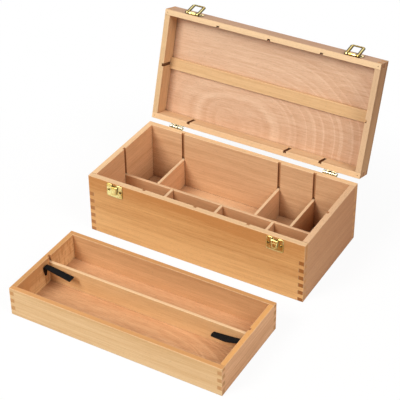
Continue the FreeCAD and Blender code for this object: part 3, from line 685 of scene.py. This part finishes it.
stamped = {
    "brush": (300.0, 4200.0, 4200.0),  # stretch of the polishing lines
    "outline": 0.0020,  # reach of the painted dark line beside an edge
    "edgeShare": 0.92,  # how dark that painted line is; with little of it the edge is polished round and catches the light
    "edges": None,  # a function for more such painted lines
    "tones": ("polished", "golden"),
}
turning = (2600.0, 2600.0, 2600.0)
brassFinishes = {
    "stampedBrass": {},
    "catchBrass": {"outline": 0.0028, "edgeShare": 0.06},
    "bailBrass": {"outline": 0.0036, "edges": bailEdges},
    "hingeBrass": {"tones": ("pale", "straw")},
    "turnedBrass": {"brush": turning},
    "screwBrass": {"brush": turning, "tones": ("golden", "screwShade")},
}
finishByName = {  # the first that a fitting's name holds
    "screws": "screwBrass",
    "_pin_": "turnedBrass",
    "_catch_": "catchBrass",
    "_bail_": "bailBrass",
    "_leaf_": "hingeBrass",
    "_": "stampedBrass",
}


def brassMaterial(name, metal):
    # an edge shows where the rounded normal leans from the face's own
    material, paint = startMaterial(name)
    place = paint.node("ShaderNodeTexCoord", out="Object")
    cloud = place.noise(*brass["cloud"])
    lines = place.noise(metal["brush"], *brass["lines"])
    spots = place.noise(brass["spots"]).rise(*brass["spotRise"])
    level = paint.node("ShaderNodeNewGeometry", out="True Normal")
    rounded = paint.node("ShaderNodeBevel", {"samples": brass["edgeSamples"]}, {"Radius": metal["outline"]})
    edged = 1 - rounded.dot(level).rise(*brass["edgeRise"])
    if metal["edges"]:
        edged = edged.most(metal["edges"](place))
    # patina in recesses, and painted shade there as well
    patinaAndShade = 1 - openness(paint, brass["patinaShadeReach"], brass["patinaShadeSamples"]).rise(*brass["patinaShadeRise"])
    bright, warm = (tone(*brass[key]) for key in metal["tones"])
    colour = paint.mix(cloud.rise(*brass["cloudRise"]), bright, warm)
    bySpots, byPatinaShade = brass["darkening"]
    # spots are tarnish; edges take painted dark reflection, recesses patina and painted shade
    darkened = spots * bySpots + edged * metal["edgeShare"] + patinaAndShade * byPatinaShade
    colour = paint.mix(darkened, colour, tone(*brass["tarnishAndShade"]))
    plain, lined, spotted, edging = brass["rough"]
    rough = plain + lines * lined + spots * spotted + edged * edging
    bump = relief(paint, lines + cloud, brass["reliefStrength"], brass["reliefDepth"], Normal=rounded)
    surface(paint, Base_Color=colour, Metallic=1.0, Roughness=rough, Normal=bump)
    return material


metals = {name: brassMaterial(name, {**stamped, **own}) for name, own in brassFinishes.items()}
fittings = [name for name in nodes if name.startswith(("hinge_", "latch_"))]
for name in fittings:
    dress(name, metals[next(metal for mark, metal in finishByName.items() if mark in name)])
print("fittings finished:", len(fittings))

# screws with crowned, cross-cut heads

screw = {
    "apart": 0.002,  # screws of a set lie at least this far apart along X
    "head": 0.0011,  # height of the crown above the plate
    "rim": 0.0004,  # height of the head's upright rim
    "cut": 0.10,  # half width and half length of the cross, as shares of the head's radius
    "cutLength": 0.58,
    "cutDepth": 0.0006,
    "cutSide": 1.4,  # where its sloped sides end, in half widths
    "cutEnd": 0.05,  # how far its sloped ends reach out
    "grid": (0.25, 0.40, 0.75, 0.88, 1.0),  # the other lines from the middle to the rim
    "shank": 0.50,  # share of the head's radius
    "point": 0.002,  # length of the point, and its end as a share of the radius
    "pointEnd": 0.08,
    "turn": 2.4,  # each head stops at its own angle
    "sharp": math.radians(32),
    "faces": {
        "latch_catch_screws": (0, -1, 0),
        "hinge_base_screws": (0, 1, 0),
        "latch_lid_screws": swung(0, -1, 0),
        "hinge_lid_screws": swung(0, 1, 0),
    },
}


def makeScrews(name, out):
    # head: a square grid with lines at the cross's edges, pressed into a disc, crowned as a parabola and
    # sunk where both grid values lie in the cross; its border is carried down as rings to the point
    corners = readCorners(name)
    corners = corners[np.argsort(corners[:, 0])]
    groups = np.split(corners, np.flatnonzero(np.diff(corners[:, 0]) > screw["apart"]) + 1)
    out, side = np.array(out), np.array((1.0, 0.0, 0.0))
    up = np.cross(out, side)
    half, far = screw["cut"], screw["cutLength"]
    steps = np.sort([half, screw["cutSide"] * half, far, far + screw["cutEnd"], *screw["grid"]])
    lines = np.concatenate([-steps[::-1], [0.0], steps])
    count = len(lines)
    u, v = np.meshgrid(lines, lines, indexing="ij")
    discX, discY = u * np.sqrt(1 - v**2 / 2), v * np.sqrt(1 - u**2 / 2)
    inCross = np.minimum(np.abs(u), np.abs(v)) <= half + 1e-6
    inCross &= np.maximum(np.abs(u), np.abs(v)) <= far + 1e-6
    crown = screw["rim"] + (screw["head"] - screw["rim"]) * (1 - discX**2 - discY**2)
    height = crown - screw["cutDepth"] * inCross
    spot = np.arange(count * count).reshape(count, count)
    quads = np.stack([spot[:-1, :-1], spot[1:, :-1], spot[1:, 1:], spot[:-1, 1:]], -1).reshape(-1, 4)
    border = np.concatenate([spot[:-1, 0], spot[-1, :-1], spot[:0:-1, -1], spot[0, :0:-1]])
    around = len(border)
    points, faces = [], []
    for number, group in enumerate(groups):
        flat = np.stack([group @ side, group @ up, group @ out], -1)
        low, high = flat.min(0), flat.max(0)
        radius = (high[0] - low[0]) / 2
        angle = number * screw["turn"]
        x = radius * (discX * math.cos(angle) - discY * math.sin(angle))
        y = radius * (discX * math.sin(angle) + discY * math.cos(angle))
        top = np.stack([x, y, height], -1).reshape(-1, 3)
        seat = high[2] - screw["head"]
        tip = low[2] - seat
        shank = screw["shank"]
        rings = [(1.0, 0.0), (shank, 0.0), (shank, tip + screw["point"]), (screw["pointEnd"], tip)]
        loops = [top] + [top[border] * (share, share, 0) + (0, 0, drop) for share, drop in rings]
        local = np.concatenate(loops + [np.array([[0, 0, tip]])])
        local = local + ((low[0] + high[0]) / 2, (low[1] + high[1]) / 2, seat)
        below = count * count + np.arange(len(rings) * around).reshape(-1, around)
        ids = np.concatenate([border[None], below])
        onward = np.roll(ids, -1, 1)
        down = np.stack([ids[:-1], ids[1:], onward[1:], onward[:-1]], -1).reshape(-1, 4)
        point = np.stack([ids[-1], np.full(around, len(local) - 1), onward[-1]], -1)
        start = number * len(local)
        points.append(local @ np.array([side, up, out]))
        faces += (quads + start).tolist() + (down + start).tolist() + (point + start).tolist()
    piece = makePiece("cross_" + name, np.concatenate(points), faces, metals["screwBrass"])
    piece.data.set_sharp_from_angle(angle=screw["sharp"])
    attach(piece, nodes[name]["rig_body"])
    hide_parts(name)


for name, out in screw["faces"].items():
    makeScrews(name, out)
print("screws finished:", len(screw["faces"]), "sets")

# leather pulls

leather = {
    "black": (9, 9, 10),
    "rubbed": (24, 23, 23),
    "rawEdge": (22, 17, 15),
    "pebbles": 1100.0,
    "creaseRise": (0.0, 0.12),
    "cloud": (130.0, 3.0),  # scale and detail
    "cloudHeight": 0.6,
    "rubbedRise": (0.5, 0.75),
    "rubbedShare": 0.6,
    "rough": (0.50, 0.2, 0.2),  # and what cloud and raw edge add
    "reliefStrength": 0.5,
    "reliefDepth": 0.00025,
    "gloss": 0.10,
}
strap = {
    "thick": 0.002,
    "leg": 0.016,
    "bend": 0.0022,  # radius of the fold
    "knots": (0.7, 0.55),  # the width's knots on the leg, and on the tongue from its tip
    "steps": 220,
    "around": 48,
    "soften": 29,  # steps over which the width is smoothed
    "corner": 0.42,  # power that squares the section
    "rawPower": 10,
    "tipCut": 0.98,
    "tipThin": 0.7,
}
pulls = {
    "left": {
        "wall": (-0.1768, -0.2635), "inwards": 1, "foot": 0.0245, "tongue": 0.0490,
        "dip": 0.150, "curl": -0.02, "twist": 0.03, "sway": 0.0, "cup": 0.0004, "tipRound": 0.0014,
        "widths": (0.0030, 0.0100, 0.0104, 0.0118, 0.0132),
    },
    "right": {
        "wall": (0.1828, -0.2632), "inwards": -1, "foot": 0.0185, "tongue": 0.0510,
        "dip": 0.135, "curl": 0.075, "twist": -0.02, "sway": 1.0, "cup": -0.0005, "tipRound": 0.0022,
        "widths": (0.0030, 0.0098, 0.0104, 0.0148, 0.0112),
    },
}


def leatherMaterial():
    material, paint = startMaterial("blackLeather")
    place = paint.node("ShaderNodeTexCoord", out="Object")
    pebbles = {"Vector": place, "Scale": leather["pebbles"]}
    pebble = paint.node("ShaderNodeTexVoronoi", {"feature": "DISTANCE_TO_EDGE"}, pebbles, out="Distance")
    crease = pebble.rise(*leather["creaseRise"])
    cloud = place.noise(*leather["cloud"])
    rubbed = cloud.rise(*leather["rubbedRise"]) * leather["rubbedShare"]
    colour = paint.mix(rubbed, tone(*leather["black"]), tone(*leather["rubbed"]))
    raw = paint.node("ShaderNodeAttribute", {"attribute_name": "rawEdge"}, out="Fac")
    colour = paint.mix(raw, colour, tone(*leather["rawEdge"]))
    plain, clouded, edged = leather["rough"]
    rough = plain + cloud * clouded + raw * edged
    height = crease + cloud * leather["cloudHeight"]
    bump = relief(paint, height, leather["reliefStrength"], leather["reliefDepth"])
    surface(paint, Base_Color=colour, Roughness=rough, Normal=bump, Specular_IOR_Level=leather["gloss"])
    return material


def squared(wave):
    return np.sign(wave) * np.abs(wave) ** strap["corner"]


def makePull(side, pull, material):
    # path: the heading turns from upright to the dip over the fold and curls a little along the
    # tongue; its running sum gives the line. Section: a flattened ring with soft corners, as wide
    # as the widths table says (foot, leg, fold, belly, tip), carried square to the path.
    steps, around, leg = strap["steps"], strap["around"], strap["leg"]
    fold = strap["bend"] * math.pi / 2
    total = leg + fold + pull["tongue"]
    s = np.linspace(0, total, steps)
    beyond = np.clip((s - leg) / fold, 0, 1)
    tongue = np.clip((s - leg - fold) / pull["tongue"], 0, 1)
    heading = math.pi / 2 - (math.pi / 2 + pull["dip"]) * beyond + pull["curl"] * tongue
    step = np.diff(s, prepend=0)
    goes = np.cumsum(np.cos(heading) * step)
    rises = np.cumsum(np.sin(heading) * step)
    onLeg, onTongue = strap["knots"]
    knots = np.array([0.0, onLeg * leg, leg + fold, total - onTongue * pull["tongue"], total])
    width = np.interp(s, knots, pull["widths"]) / 2
    soften = strap["soften"]
    width = np.convolve(np.pad(width, soften // 2, "edge"), np.ones(soften) / soften, "valid")
    shift = -pull["sway"] * np.clip(width - pull["widths"][2] / 2, 0, None)  # keeps the far edge straight
    tip = np.clip((s - (total - pull["tipRound"])) / pull["tipRound"], 0, 1)
    width = width - pull["tipRound"] * (1 - np.sqrt(np.clip(1 - tip**2, 0, 1))) * strap["tipCut"]
    body = strap["thick"] / 2 * np.sqrt(1 - strap["tipThin"] * tip**4)
    angle = np.linspace(0, 2 * math.pi, around, endpoint=False)
    flat, high = squared(np.cos(angle)), squared(np.sin(angle))
    offSide = width[:, None] * flat[None, :]
    offUp = body[:, None] * high[None, :] + pull["cup"] * (flat[None, :] ** 2) * tongue[:, None]
    offUp = offUp + offSide * (pull["twist"] * tongue[:, None])
    x = goes[:, None] - np.sin(heading)[:, None] * offUp + strap["thick"] / 2
    z = rises[:, None] + np.cos(heading)[:, None] * offUp + pull["foot"]
    y = offSide + shift[:, None]
    points = np.stack([pull["wall"][0] + pull["inwards"] * x, pull["wall"][1] + y, z], -1)
    caps = np.stack([points[0].mean(0), points[-1].mean(0)])
    ids = np.arange(steps * around).reshape(steps, around)
    onward = np.roll(ids, -1, 1)
    quads = np.stack([ids[:-1], onward[:-1], onward[1:], ids[1:]], -1).reshape(-1, 4)
    first, last = (np.full(around, steps * around + end) for end in (0, 1))
    shut = np.concatenate([
        np.stack([first, onward[0], ids[0]], -1),
        np.stack([last, ids[-1], onward[-1]], -1),
    ])
    if pull["inwards"] > 0:
        quads, shut = quads[:, ::-1], shut[:, ::-1]
    points = np.concatenate([points.reshape(-1, 3), caps])
    piece = makePiece(f"leather_pull_{side}", points, quads.tolist() + shut.tolist(), material)
    rawEdge = np.concatenate([np.tile(np.abs(flat) ** strap["rawPower"], steps), [1.0, 1.0]])
    layer = piece.data.attributes.new("rawEdge", "FLOAT", "POINT")
    layer.data.foreach_set("value", rawEdge.astype(np.float32))
    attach(piece, "tray")
    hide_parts(f"tray_lift_tab_{side}")


blackLeather = leatherMaterial()
for side, pull in pulls.items():
    makePull(side, pull, blackLeather)
print("pulls finished:", len(pulls))
